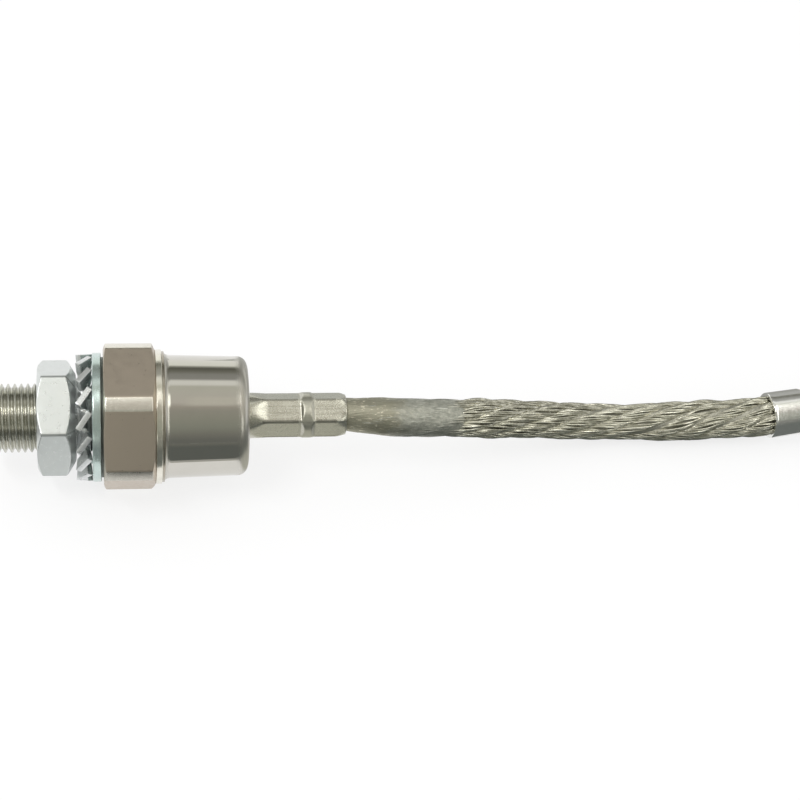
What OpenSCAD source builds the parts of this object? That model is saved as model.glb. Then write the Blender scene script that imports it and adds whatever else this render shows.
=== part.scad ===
// Stud-mounted rectifier diode with a flexible lead, lying on one flat of its hexagon.
// The origin is the centre of the seating face, +X runs along the axis towards the lead,
// and +Z is up. All sizes are in millimetres.

/* [Stud and hexagonal base] */
// Diameter of the stud's thread
stud_d = 16; // [12:0.5:20]
// Length of the stud below the seating face
stud_l = 27; // [22:0.5:45]
// Chamfer at the stud's tip
stud_tip = 1; // [0.2:0.1:2]
// Distance between the grooves of the thread, which are plain rings on the stud and in the nut
thread_pitch = 1.5; // [1.5:0.25:2]
// Depth of the thread's grooves
thread_depth = 0.9; // [0.4:0.05:1]
// Length of the plain neck between the seating face and the first groove
thread_neck = 1.3; // [0.5:0.1:1.9]
// Width of the hexagon across its flats
hex_af = 32; // [31:0.5:42]
// How much is turned off the hexagon's corners, on the radius
hex_corner_cut = 0.85; // [0.1:0.05:1.2]
// Thickness of the hexagon
hex_t = 12.4; // [8:0.1:20]
// Length of the chamfer at the hexagon's end towards the can
hex_chamfer = 0.8; // [0.2:0.1:1.6]
// Length of the chamfer at the hexagon's end towards the stud
hex_seat_chamfer = 0.5; // [0.2:0.1:1.2]
// How far the round end faces stay inside the hexagon's flats
hex_face_inset = 0.4; // [0.1:0.05:1]
// Height of the round boss that carries the seating face
seat_h = 0.5; // [0.2:0.1:1]
// How far the boss's rim stays inside the hexagon's flats
seat_inset = 2; // [1:0.1:3]

/* [Nut and washers] */
// Width of the nut across its flats
nut_af = 24; // [22:0.1:26]
// Height of the nut
nut_h = 8.8; // [6:0.1:14]
// How far the nut's outer end face stays inside its flats
nut_face_inset = 0.1; // [0.05:0.05:1.2]
// How far the nut's face towards the washers stays inside its flats
nut_seat_inset = 2; // [0.2:0.1:2.4]
// Slope of the nut's corner chamfers
nut_chamfer_angle = 30; // [20:1:40]
// How far the countersinks of the nut's thread open beyond the stud, on the radius
nut_sink = 0.3; // [0.2:0.05:0.6]
// How far the nut's flats are turned from the base's flats
nut_turn = 33.8; // [0:0.1:60]
// Width of the flat washer between its hole and its rim
washer_w = 6.5; // [4:0.1:6.8]
// Thickness of the flat washer
washer_t = 2; // [1:0.1:4]
// Width of the lock washer's ring
lock_ring_w = 2.7; // [2:0.1:3.2]
// Length of the lock washer's teeth beyond its ring
tooth_l = 3.4; // [2:0.1:3.8]
// Thickness of the lock washer's sheet
lock_t = 1.3; // [0.8:0.1:1.8]
// Number of teeth round the lock washer
lock_teeth = 16; // [8:1:18]
// Width of a tooth at its tip
tooth_tip_w = 4.8; // [3:0.1:5]
// Width of a tooth at its root
tooth_root_w = 3.6; // [2:0.1:3.8]
// Angle by which each tooth is twisted out of the washer's plane
tooth_twist = 34; // [15:1:45]
// How far the lock washer is turned from the base's flats
lock_turn = 20.5; // [0:0.1:30]
// Clearance of the washers' holes round the stud, on the diameter
washer_play = 1; // [0.4:0.1:1.5]

/* [Can] */
// How far the weld ring's rim stays inside the hexagon's flats
ring_inset = 0.3; // [0.1:0.05:0.4]
// Thickness of the weld ring
ring_t = 1.5; // [1:0.1:3]
// Step from the weld ring's rim to the can's flange
flange_step = 0.4; // [0.1:0.1:0.6]
// Thickness of the can's flange
flange_t = 0.6; // [0.4:0.1:1]
// Diameter of the can at its flange
can_d = 28.8; // [27.6:0.1:29]
// How much the can's radius shrinks towards its outer end
can_draft = 0.4; // [0:0.1:0.6]
// Wall thickness of the can
can_wall = 1.2; // [0.8:0.1:1.4]
// Radius of the can's outer edge
can_edge_r = 2.4; // [0.8:0.1:2.6]
// Length of the flare above the flange
flare_l = 1.8; // [0.5:0.1:3]
// How far the flare stands out from the wall
flare_w = 0.4; // [0.1:0.05:0.5]
// Diameter of the glass-sealed hole in the can's end
eye_d = 19; // [17:0.1:20]
// Wall of the collar round that hole
eye_wall = 1; // [0.6:0.1:1.2]
// Depth of the collar and its glass
eye_depth = 4.3; // [3:0.1:7]
// How deep the glass lies below the can's end
glass_recess = 0.5; // [0.2:0.1:1]

/* [Crimp tube] */
// Outer diameter of the crimp tube
tube_d = 10.7; // [10:0.1:12]
// Wall thickness of the crimp tube
tube_wall = 1.6; // [1.4:0.05:1.8]
// Length of the tube beyond the can's end
tube_out = 23.2; // [23:0.1:30]
// Length of the tube inside the can, beyond the glass
tube_stub = 0.6; // [0.2:0.1:3]
// How deep the crimps press their flats into the tube
crimp_depth = 0.7; // [0.2:0.05:1]
// Length of the first crimp, next to the can
first_crimp_l = 9.3; // [5:0.1:10]
// Length of the second crimp, next to the tube's mouth
crimp_l = 7.6; // [5:0.1:9]
// Length of the round rib between the crimps
crimp_rib = 2; // [1:0.1:4]
// Distance from the can's end to the first crimp
crimp_start = 3.7; // [2:0.1:5]
// Length of the slope at each end of a crimp
crimp_ramp = 0.6; // [0.3:0.1:1]
// Length of the long slope that leads into the first crimp
crimp_lead = 3.4; // [0.3:0.1:4.6]
// How far the crimps' flats are turned from the base's flats
crimp_turn = 33.4; // [0:0.1:60]
// Length of the taper at the tube's mouth
mouth_l = 2.2; // [1:0.1:3]
// Wall thickness at the tube's mouth
mouth_wall = 0.7; // [0.3:0.05:1]

/* [Junction] */
// Height of the pedestal above the weld ring
pedestal_h = 1.1; // [0.8:0.1:2]
// Thickness of the lower molybdenum disc
lower_disc_t = 2; // [1:0.1:3]
// Thickness of the silicon wafer
wafer_t = 0.4; // [0.2:0.05:0.8]
// Thickness of the upper molybdenum disc
upper_disc_t = 1.5; // [0.8:0.1:2]
// How much smaller each disc of the stack is than the one below it, on the radius
stack_step = 1; // [0.3:0.1:1.4]
// Thickness of the contact electrode's head
head_t = 3; // [2:0.1:4]
// Diameter of the contact electrode's stem
stem_d = 8.8; // [8.2:0.1:9.4]
// Diameter of the flexible copper lead inside the can
inner_lead_d = 6.6; // [5:0.1:7]
// Thickness of the stem's wall left below its socket
socket_floor = 1; // [0.5:0.1:2]

/* [Spring pack] */
// Gap between the spring housing and the can
housing_gap = 0.3; // [0.2:0.05:0.5]
// Wall thickness of the spring housing
housing_wall = 1.4; // [1:0.1:1.8]
// Wall thickness of the centring sleeve
sleeve_wall = 0.9; // [0.6:0.1:1.2]
// Wall thickness of the sleeve round the stem
stem_sleeve_wall = 0.6; // [0.4:0.1:0.8]
// Thickness of the mica washer
mica_t = 0.5; // [0.2:0.05:1]
// Thickness of the pressure washer
pressure_t = 1.5; // [1:0.1:2]
// Thickness of one disc spring
spring_t = 0.9; // [0.6:0.05:1.2]
// Cone height of one disc spring
spring_cone = 0.7; // [0.3:0.05:1]
// Clearance between the springs' rims and the housing, on the radius
spring_play = 0.5; // [0.2:0.1:0.8]
// Thickness of the retaining ring
snap_t = 1.1; // [0.8:0.1:1.5]
// Depth of the retaining ring's groove
snap_groove = 0.6; // [0.4:0.05:0.8]
// Radial width of the retaining ring
snap_w = 2.3; // [1.8:0.1:2.6]
// Height of the housing's lip above the retaining ring
housing_lip = 0.5; // [0.3:0.1:1]
// Clearance between pieces that are assembled into one another
fit_gap = 0.05; // [0.02:0.01:0.1]

/* [Lead and lug] */
// Diameter of the rope lead where it is free
rope_d = 9.4; // [8:0.1:9.4]
// Diameter of the rope where it leaves the tube
rope_neck_d = 8; // [7.6:0.1:8.6]
// Gap between the rope and the bores that hold it
rope_play = 0.1; // [0.05:0.01:0.3]
// Outer diameter of the lug's barrel
lug_d = 11.4; // [11:0.1:11.4]
// Wall thickness of the lug's barrel
lug_wall = 1.2; // [1:0.05:1.2]
// Length of the lug's barrel
barrel_l = 18; // [16:0.5:24]
// Depth of the barrel's bore
barrel_depth = 16; // [15:0.5:16]
// How deep the crimp presses its flats into the barrel
lug_crimp_depth = 0.7; // [0.2:0.05:0.9]
// Distance from the barrel's mouth to its crimp
lug_crimp_start = 8.5; // [4:0.1:9]
// Length of the lug's crimp
lug_crimp_l = 7; // [5:0.1:9]
// Length of the neck between barrel and palm
lug_neck_l = 7; // [4:0.5:12]
// Width of the palm
palm_w = 17.6; // [16:0.1:24]
// Thickness of the palm
palm_t = 2.6; // [2:0.1:4]
// Distance from the palm's start to its hole
hole_offset = 10; // [8:0.5:16]
// Diameter of the palm's bolt hole
hole_d = 8.4; // [5:0.1:10.5]

/* [Hidden] */
$fn = 96;
// Length by which a cutting shape runs past what it cuts
past = 1;

// Thread: its number of grooves, and half the width of a groove at its mouth and its floor
thread_count = floor((stud_l - stud_tip - thread_neck) / thread_pitch);
groove_mouth = 7 / 16 * thread_pitch;
groove_floor = groove_mouth - thread_depth * tan(30);

// Stack of the fasteners below the seating face
lock_h = tooth_tip_w * sin(tooth_twist) + lock_t * cos(tooth_twist);
lock_x = -washer_t - lock_h / 2;
nut_x = -washer_t - lock_h - nut_h;
washer_hole_r = (stud_d + washer_play) / 2;
lock_ring_r = washer_hole_r + lock_ring_w;

// Stations along the axis above the seating face
flange_x = hex_t + ring_t;
stack_x = flange_x + pedestal_h;
wafer_x = stack_x + lower_disc_t;
upper_disc_x = wafer_x + wafer_t;
head_x = upper_disc_x + upper_disc_t;
mica_x = head_x + head_t;
pressure_x = mica_x + mica_t;
spring_x = pressure_x + pressure_t;
snap_x = spring_x + 3 * spring_t + spring_cone;
housing_top = snap_x + snap_t + housing_lip;
tube_x = housing_top + fit_gap;
can_top = tube_x + tube_stub + eye_depth;
can_l = can_top - flange_x;
mouth_x = can_top + tube_out;

// Radii of the can and of what it holds
wall_r = can_d / 2;
end_r = wall_r - can_draft;
ring_r = hex_af / 2 - ring_inset;
flange_r = ring_r - flange_step;
eye_r = eye_d / 2;
housing_r = end_r - can_wall - housing_gap;
housing_bore_r = housing_r - housing_wall;
spigot_r = housing_r + housing_gap;
sleeve_r = housing_bore_r - fit_gap;
sleeve_bore_r = sleeve_r - sleeve_wall;
lower_disc_r = sleeve_bore_r - fit_gap;
wafer_r = lower_disc_r - stack_step;
upper_disc_r = wafer_r - stack_step;
stem_bore_r = stem_d / 2 + fit_gap;
stem_sleeve_r = stem_bore_r + stem_sleeve_wall;
spring_bore_r = stem_sleeve_r + fit_gap;
spring_r = housing_bore_r - spring_play;
stem_top = housing_top - housing_lip;
tube_r = tube_d / 2;
tube_bore_r = tube_r - tube_wall;
bell_r = rope_neck_d / 2 + rope_play;
socket_x = mica_x + socket_floor;

// Route of the rope's centre, from inside the crimp tube to inside the lug's barrel
ROUTE = [
  [37, 0, 0], [43, 0, 0], [49, 0, 0], [54.8, 0, 0], [57, 0, 0], [62, -0.3, -0.1],
  [67, -0.5, -0.4], [73, -0.4, -1], [80, 0.2, -1.9], [87, 1.3, -3.4], [94, 2.5, -5.2],
  [101, 3.7, -6.9], [108, 4.6, -8.5], [115, 5.2, -9.8], [122, 5.7, -10.7], [129, 5.8, -11.1],
  [136, 5.9, -11.2], [143, 6, -11.2], [150, 6.3, -10.9], [157, 6.3, -10.9], [164, 6.6, -10.3],
  [171, 7.65, -10.3], [178, 8.7, -10.3]
];
// Points of the route where the rope leaves the tube, has its full size and enters the lug
ROUTE_MOUTH = 4;
ROUTE_FREE = 7;
ROUTE_LUG = 20;
ROPE_SIDES = 12;
route_end = len(ROUTE) - 1;
lug_dir = ROUTE[route_end] - ROUTE[ROUTE_LUG];
lug_yaw = atan2(lug_dir[1], lug_dir[0]);
lug_bore_r = lug_d / 2 - lug_wall;
palm_x = barrel_l + lug_neck_l;
hole_x = palm_x + hole_offset;

// Turns what is drawn along local Z so that it lies along X
module on_axis(x = 0) {
  translate([x, 0, 0])
    rotate([0, 90, 0])
      children();
}

// Ring or disc on the axis, from one station over a length
module ring(x, length, outer_r, bore_r = 0) {
  on_axis(x)
    difference() {
      cylinder(h = length, r = outer_r);
      if (bore_r > 0)
        translate([0, 0, -past])
          cylinder(h = length + 2 * past, r = bore_r);
    }
}

// Hexagonal prism along local Z, with flats facing local X
module hex_prism(af, length) {
  rotate([0, 0, 30])
    linear_extrude(length)
      circle(d = af / cos(30), $fn = 6);
}

// Turned blank from one station to another, whose end faces are smaller than its middle
module chamfered_blank(low, high, middle_r, low_r, low_chamfer, high_r, high_chamfer) {
  rotate_extrude()
    polygon([
      [0, low], [low_r, low], [middle_r, low + low_chamfer],
      [middle_r, high - high_chamfer], [high_r, high], [0, high]
    ]);
}

// Cutters for six flats pressed to a depth into a round tube of radius r along local Z.
// The slope at the start has its own length, and the one at the end is crimp_ramp long.
module crimp_flats(start, length, depth, r, lead) {
  for (k = [0 : 5])
    rotate([90, 0, 60 * k])
      linear_extrude(2 * r, center = true)
        polygon([
          [r - depth, start + lead],
          [r + depth, start - lead],
          [r + depth, start + length + crimp_ramp],
          [r - depth, start + length - crimp_ramp]
        ]);
}

// Points [radius, station] of the grooved thread, from the tip towards the seating face,
// with all its surfaces moved outwards by a gap
function thread_points(gap) = [
  for (k = [thread_count - 1 : -1 : 0])
    let (
      middle = -thread_neck - (k + 0.5) * thread_pitch,
      crest_r = stud_d / 2 + gap,
      floor_r = crest_r - thread_depth
    )
    each [
      [crest_r, middle - groove_mouth], [floor_r, middle - groove_floor],
      [floor_r, middle + groove_floor], [crest_r, middle + groove_mouth]
    ]
];

module stud_base() {
  corner_r = hex_af / 2 / cos(30) - hex_corner_cut;
  face_r = hex_af / 2 - hex_face_inset;
  stud_r = stud_d / 2;
  core_x = hex_t / 2;
  color("#857c70")
    on_axis()
      union() {
        rotate_extrude()
          polygon(concat(
            [[0, -stud_l], [stud_r - stud_tip, -stud_l], [stud_r, stud_tip - stud_l]],
            thread_points(0),
            [
              [stud_r, 0], [hex_af / 2 - seat_inset, 0], [hex_af / 2 - seat_inset, core_x],
              [spigot_r, core_x], [spigot_r, flange_x],
              [sleeve_r, flange_x], [sleeve_r, stack_x], [0, stack_x]
            ]
          ));
        intersection() {
          hex_prism(hex_af, hex_t);
          chamfered_blank(
            seat_h, hex_t, corner_r, face_r, hex_seat_chamfer, face_r, hex_chamfer
          );
        }
      }
}

module weld_ring() {
  color("#b5ad9f")
    ring(hex_t, ring_t, ring_r, spigot_r + fit_gap);
}

// Outer shape of the can as a half section: radius along x, height along y
module can_profile() {
  edge_y = can_l - can_edge_r;
  difference() {
    polygon([
      [0, 0], [flange_r, 0], [flange_r, flange_t], [wall_r + flare_w, flange_t],
      [wall_r, flange_t + flare_l], [end_r, edge_y], [end_r, can_l], [0, can_l]
    ]);
    translate([end_r - can_edge_r, edge_y])
      difference() {
        square(can_edge_r + past);
        circle(can_edge_r);
      }
  }
}

module cap() {
  inner_top = can_l - can_wall;
  color("#9c9384")
    on_axis(flange_x)
      rotate_extrude()
        difference() {
          can_profile();
          difference() {
            polygon([
              [0, -past], [wall_r - can_wall, -past],
              [wall_r - can_wall, flange_t + flare_l],
              [end_r - can_wall, inner_top], [0, inner_top]
            ]);
            translate([eye_r, can_l - eye_depth])
              square([eye_wall, eye_depth]);
          }
          translate([-past, -past])
            square([eye_r + past, can_l + 2 * past]);
        }
}

module glass_seal() {
  inner = tube_r + fit_gap;
  outer = eye_r - fit_gap;
  dish_r = outer - inner;
  top = eye_depth - glass_recess;
  color("#5d6f6a")
    on_axis(can_top - eye_depth)
      rotate_extrude()
        difference() {
          translate([inner, fit_gap])
            square([outer - inner, top - fit_gap]);
          translate([(inner + outer) / 2, top + dish_r * cos(30)])
            circle(dish_r);
        }
}

module crimp_tube() {
  length = mouth_x - tube_x;
  first = can_top - tube_x + crimp_start;
  second = first + first_crimp_l + crimp_rib;
  more = crimp_lead - crimp_ramp;
  color("#b3aca0")
    on_axis(tube_x)
      rotate([0, 0, -crimp_turn])
        difference() {
          union() {
            cylinder(h = length - mouth_l, r = tube_r);
            translate([0, 0, length - mouth_l])
              cylinder(h = mouth_l, r1 = tube_r, r2 = bell_r + mouth_wall);
          }
          crimp_flats(first - more, first_crimp_l + more, crimp_depth, tube_r, crimp_lead);
          crimp_flats(second, crimp_l, crimp_depth, tube_r, crimp_ramp);
          translate([0, 0, -past])
            cylinder(h = length + 2 * past, r = tube_bore_r);
          translate([0, 0, length - mouth_l])
            cylinder(h = mouth_l, r1 = tube_bore_r, r2 = bell_r);
        }
}

module lower_molybdenum_disc() {
  color("#8d9096") ring(stack_x, lower_disc_t, lower_disc_r);
}

module silicon_wafer() {
  color("#4a4f5a") ring(wafer_x, wafer_t, wafer_r);
}

module upper_molybdenum_disc() {
  color("#8d9096") ring(upper_disc_x, upper_disc_t, upper_disc_r);
}

module contact_electrode() {
  color("#c07850")
    difference() {
      union() {
        ring(head_x, head_t, upper_disc_r);
        ring(mica_x, stem_top - mica_x, stem_d / 2);
      }
      ring(socket_x, stem_top - socket_x + past, inner_lead_d / 2 + fit_gap);
    }
}

module inner_lead() {
  color("#b87048")
    ring(socket_x, ROUTE[0][0] - fit_gap - socket_x, inner_lead_d / 2);
}

module centring_sleeve() {
  color("#e8e6dc") ring(stack_x, mica_x - stack_x, sleeve_r, sleeve_bore_r);
}

module mica_washer() {
  color("#c9b98a") ring(mica_x, mica_t, sleeve_r, stem_bore_r);
}

module stem_sleeve() {
  color("#e8e6dc") ring(pressure_x, snap_x - pressure_x, stem_sleeve_r, stem_bore_r);
}

module pressure_washer() {
  color("#a8acb0") ring(pressure_x, pressure_t, spring_r, spring_bore_r);
}

// Disc spring of the pack, counted from the pressure washer
module disc_spring(k) {
  low = k * spring_t;
  color("#7c7f86")
    on_axis(spring_x + low)
      rotate_extrude()
        polygon([
          [spring_bore_r, 0], [spring_r, spring_cone],
          [spring_r, spring_cone + spring_t], [spring_bore_r, spring_t]
        ]);
}

module retaining_ring() {
  outer = housing_bore_r + snap_groove - fit_gap;
  gap_w = 3;
  color("#6e7074")
    difference() {
      ring(snap_x, snap_t, outer, outer - snap_w);
      translate([snap_x - past, -gap_w / 2, 0])
        cube([snap_t + 2 * past, gap_w, outer + past]);
    }
}

module spring_housing() {
  groove = snap_t + 2 * fit_gap;
  color("#9a9ca0")
    difference() {
      ring(flange_x, housing_top - flange_x, housing_r, housing_bore_r);
      ring(snap_x - fit_gap, groove, housing_bore_r + snap_groove);
    }
}

// Radius of the rope at a point of its route
function rope_r(k) =
  k < ROUTE_MOUTH ? tube_bore_r - rope_play
  : k >= ROUTE_LUG ? lug_bore_r - rope_play
  : k >= ROUTE_FREE ? rope_d / 2
  : (rope_neck_d + (rope_d - rope_neck_d) * (k - ROUTE_MOUTH) / (ROUTE_FREE - ROUTE_MOUTH)) / 2;

function unit(v) = v / norm(v);

// Direction of the route at one of its points
function heading(k) = unit(ROUTE[min(k + 1, route_end)] - ROUTE[max(k - 1, 0)]);

// Ring of points round the route at one of its points
function rope_ring(k) =
  let (
    ahead = heading(k),
    across = unit(cross([0, 0, 1], ahead)),
    up = cross(ahead, across)
  )
  [
    for (s = [0 : ROPE_SIDES - 1])
      let (a = 360 * (s + 0.5) / ROPE_SIDES)
      ROUTE[k] + rope_r(k) * (cos(a) * across + sin(a) * up)
  ];

module lead_cable() {
  points = [for (k = [0 : route_end]) each rope_ring(k)];
  sides = [
    for (k = [0 : route_end - 1], s = [0 : ROPE_SIDES - 1])
      let (
        a = k * ROPE_SIDES + s,
        b = k * ROPE_SIDES + (s + 1) % ROPE_SIDES
      )
      each [
        [a, a + ROPE_SIDES, b + ROPE_SIDES],
        [a, b + ROPE_SIDES, b]
      ]
  ];
  first_cap = [for (s = [0 : ROPE_SIDES - 1]) s];
  last_cap = [for (s = [ROPE_SIDES - 1 : -1 : 0]) route_end * ROPE_SIDES + s];
  color("#8f948f")
    polyhedron(points = points, faces = concat(sides, [first_cap], [last_cap]), convexity = 4);
}

// Flat end of the lug, with its hole, along local X from the start of the palm
module palm() {
  translate([palm_x, 0, -lug_d / 2])
    difference() {
      union() {
        translate([0, -palm_w / 2, 0])
          cube([hole_offset, palm_w, palm_t]);
        translate([hole_offset, 0, 0])
          cylinder(h = palm_t, d = palm_w);
      }
      translate([hole_offset, 0, -past])
        cylinder(h = palm_t + 2 * past, d = hole_d);
    }
}

module terminal_lug() {
  slice = 0.5;
  color("#a9aaa6")
    translate(ROUTE[ROUTE_LUG])
      rotate([0, 0, lug_yaw]) {
        difference() {
          on_axis()
            cylinder(h = barrel_l, d = lug_d);
          on_axis()
            crimp_flats(lug_crimp_start, lug_crimp_l, lug_crimp_depth, lug_d / 2, crimp_ramp);
          on_axis(-past)
            cylinder(h = barrel_depth + past, r = lug_bore_r);
        }
        hull() {
          on_axis(barrel_l - slice)
            cylinder(h = slice, d = lug_d, $fn = 32);
          translate([palm_x, -palm_w / 2, -lug_d / 2])
            cube([slice, palm_w, palm_t]);
        }
        palm();
      }
}

module flat_washer() {
  color("#a9bab4")
    ring(-washer_t, washer_t, washer_hole_r + washer_w, washer_hole_r);
}

// One twisted tooth of the lock washer, pointing along local X
module lock_tooth() {
  root_r = lock_ring_r - lock_t / 2;
  tip_r = lock_ring_r + tooth_l;
  rotate([-tooth_twist, 0, 0])
    translate([0, 0, -lock_t / 2])
      linear_extrude(lock_t)
        polygon([
          [root_r, -tooth_root_w / 2], [tip_r, -tooth_tip_w / 2],
          [tip_r, tooth_tip_w / 2], [root_r, tooth_root_w / 2]
        ]);
}

module lock_washer() {
  color("#7d807e")
    union() {
      ring(lock_x - lock_t / 2, lock_t, lock_ring_r, washer_hole_r);
      on_axis(lock_x)
        for (k = [0 : lock_teeth - 1])
          rotate([0, 0, lock_turn + 360 * k / lock_teeth])
            lock_tooth();
    }
}

module hex_nut() {
  corner_r = nut_af / 2 / cos(30);
  outer_r = nut_af / 2 - nut_face_inset;
  seat_r = nut_af / 2 - nut_seat_inset;
  gap = 2 * fit_gap;
  thread_r = stud_d / 2 + gap;
  mouth_r = stud_d / 2 + nut_sink;
  slope = tan(nut_chamfer_angle);
  color("#c3c8c5")
    on_axis()
      rotate([0, 0, -nut_turn])
        difference() {
          translate([0, 0, nut_x])
            intersection() {
              hex_prism(nut_af, nut_h);
              chamfered_blank(
                0, nut_h, corner_r, outer_r, (corner_r - outer_r) * slope,
                seat_r, (corner_r - seat_r) * slope
              );
            }
          rotate_extrude()
            polygon(concat(
              [[0, -stud_l - past], [thread_r, -stud_l - past]],
              thread_points(gap),
              [[thread_r, past], [0, past]]
            ));
          translate([0, 0, nut_x])
            cylinder(h = mouth_r, r1 = mouth_r, r2 = 0);
          translate([0, 0, nut_x + nut_h - mouth_r])
            cylinder(h = mouth_r, r1 = 0, r2 = mouth_r);
        }
}

stud_base();
weld_ring();
cap();
glass_seal();
crimp_tube();
lower_molybdenum_disc();
silicon_wafer();
upper_molybdenum_disc();
contact_electrode();
inner_lead();
centring_sleeve();
mica_washer();
stem_sleeve();
pressure_washer();
disc_spring(0);  // disc_spring_1
disc_spring(1);  // disc_spring_2
disc_spring(2);  // disc_spring_3
retaining_ring();
spring_housing();
lead_cable();
terminal_lug();
flat_washer();
lock_washer();
hex_nut();
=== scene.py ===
import math
import bmesh
import bpy
import numpy as np
from mathutils import Matrix, Vector


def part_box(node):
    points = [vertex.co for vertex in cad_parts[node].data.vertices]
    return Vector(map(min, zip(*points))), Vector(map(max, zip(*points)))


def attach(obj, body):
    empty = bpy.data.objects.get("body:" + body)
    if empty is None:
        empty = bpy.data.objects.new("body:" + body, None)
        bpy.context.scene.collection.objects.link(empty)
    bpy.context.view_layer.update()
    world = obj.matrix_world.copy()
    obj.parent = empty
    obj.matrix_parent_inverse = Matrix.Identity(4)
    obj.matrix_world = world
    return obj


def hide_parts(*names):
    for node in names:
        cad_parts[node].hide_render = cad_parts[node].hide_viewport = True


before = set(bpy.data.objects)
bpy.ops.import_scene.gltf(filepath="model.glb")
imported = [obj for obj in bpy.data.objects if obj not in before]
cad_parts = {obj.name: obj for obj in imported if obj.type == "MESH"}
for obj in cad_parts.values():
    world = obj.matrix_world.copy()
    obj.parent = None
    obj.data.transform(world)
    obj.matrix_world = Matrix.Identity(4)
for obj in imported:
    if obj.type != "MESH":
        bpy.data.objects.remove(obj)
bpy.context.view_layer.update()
MM = 0.001


# Places from the frame
def reach(node):
    """Where a CAD node starts and ends along X and how far it reaches below the axis, in mm."""
    low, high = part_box(node)
    return [round(v / MM, 2) for v in (low.x, high.x, -low.z)]


STUD_TIP, BASE_END, HEX_FLAT = reach("stud_base")
WASHER_START, WASHER_END, WASHER_R = reach("flat_washer")
NUT_TOP = reach("hex_nut")[1]
RING_START, RING_END, RING_R = reach("weld_ring")
CAN_START, CAN_END, FLANGE_R = reach("cap")
TUBE_START, TUBE_END, TUBE_R = reach("crimp_tube")
REST_Z = -HEX_FLAT  # the part lies on one flat of its hexagon

# Camera, with angles in degrees, places in metres and the lens in mm
CAMERA_ELEVATION, CAMERA_YAW, CAMERA_PITCH, CAMERA_ROLL = 50.4, 7.88, 0.371, -0.65
CAMERA_AIM, CAMERA_DISTANCE = Vector((0.001, 0, 0)), 0.5
LENS, SENSOR_WIDTH, CLIP_START = 95.8, 36, 0.01


def make_camera():
    elevation, yaw = math.radians(CAMERA_ELEVATION), math.radians(CAMERA_YAW)
    pitch, roll = math.radians(CAMERA_PITCH), math.radians(CAMERA_ROLL)
    ahead = Vector((0, math.cos(elevation), -math.sin(elevation)))
    along = Vector((1, 0, 0))
    forward = ahead * math.cos(yaw) + along * math.sin(yaw)
    right = along * math.cos(yaw) - ahead * math.sin(yaw)
    turn = Matrix((right, right.cross(forward), -forward)).transposed()
    turn = turn @ Matrix.Rotation(pitch, 3, "X") @ Matrix.Rotation(roll, 3, "Z")
    data = bpy.data.cameras.new("camera")
    data.lens, data.sensor_width, data.clip_start = LENS, SENSOR_WIDTH, CLIP_START
    cam = bpy.data.objects.new("camera", data)
    place = CAMERA_AIM - ahead * CAMERA_DISTANCE
    cam.matrix_world = Matrix.Translation(place) @ turn.to_4x4()
    bpy.context.collection.objects.link(cam)
    bpy.context.scene.camera = cam


make_camera()


# Mesh helpers, with all lengths in mm
def add_mesh(name, verts, faces, index=None):
    """A smooth mesh object; index gives each face its material."""
    data = bpy.data.meshes.new(name)
    data.from_pydata((np.asarray(verts) * MM).tolist(), [], faces)
    data.update()
    bm = bmesh.new()
    bm.from_mesh(data)
    bmesh.ops.recalc_face_normals(bm, faces=bm.faces)
    bm.to_mesh(data)
    bm.free()
    data.polygons.foreach_set("use_smooth", [True] * len(data.polygons))
    if index is not None:
        data.polygons.foreach_set("material_index", index)
    piece = bpy.data.objects.new(name, data)
    bpy.context.collection.objects.link(piece)
    return piece


def grid_faces(rows, cols, loop=False, start=0):
    """Quads between rings of points; unless the last ring joins the first, both ends are closed."""
    i = np.arange(rows if loop else rows - 1)[:, None]
    j = np.arange(cols)[None, :]
    up, side = (i + 1) % rows, (j + 1) % cols
    quads = np.stack([i * cols + j, i * cols + side, up * cols + side, up * cols + j], -1)
    faces = (quads.reshape(-1, 4) + start).tolist()
    if not loop:
        for end in (start, start + (rows - 1) * cols):
            faces.append(list(range(end, end + cols)))
    return faces


def add_rings(name, rings, loop=False, index=None):
    """A mesh from rings of points; index gives the material of each quad, ring by ring."""
    rows, cols = rings.shape[:2]
    if index is not None:
        index = np.asarray(index)[: rows if loop else rows - 1].ravel().tolist()
        if not loop:
            index += [index[0], index[-1]]
    return add_mesh(name, rings.reshape(-1, 3), grid_faces(rows, cols, loop), index)


def profile_rows(corners, angles):
    """Rows of x and radius at the angles, where a corner has a number or an array for each."""
    return np.array([np.stack([c[0] + 0 * angles, c[1] + 0 * angles], -1) for c in corners])


def turned(profile, angles):
    """The points of a profile's rows turned round the axis; angle 0 is straight down."""
    x, r = profile[..., 0], profile[..., 1]
    return np.stack([x, r * np.sin(angles), -r * np.cos(angles)], -1)


# A rounded corner has this many steps, takes at most this share of the shorter side next to it,
# and has a further row on each side, this many times as far out, that keeps the flats flat
ROUNDING_STEPS, ROUNDING_SHARE, ROUNDING_REACH = 4, 0.33, 1.4
ARC_POINTS = 9


def rounded(corners, angles, loop=False):
    """Rows of x and radius with rounded corners; a corner is x, radius and size of the rounding."""
    points = profile_rows(corners, angles)
    count = len(points)
    rows = []
    for k, p in enumerate(points):
        largest = corners[k][2]
        if largest == 0 or not loop and k in (0, count - 1):
            rows.append(p)
            continue
        before, after = points[k - 1] - p, points[(k + 1) % count] - p
        near = np.linalg.norm(before, axis=-1, keepdims=True)
        far = np.linalg.norm(after, axis=-1, keepdims=True)
        size = np.minimum(largest, ROUNDING_SHARE * np.minimum(near, far))
        a, c = before / near * size, after / far * size
        rows.append(p + ROUNDING_REACH * a)
        for t in np.linspace(0, 1, ROUNDING_STEPS + 1):
            rows.append(p + (1 - t) ** 2 * a + t**2 * c)
        rows.append(p + ROUNDING_REACH * c)
    return np.array(rows)


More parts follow.
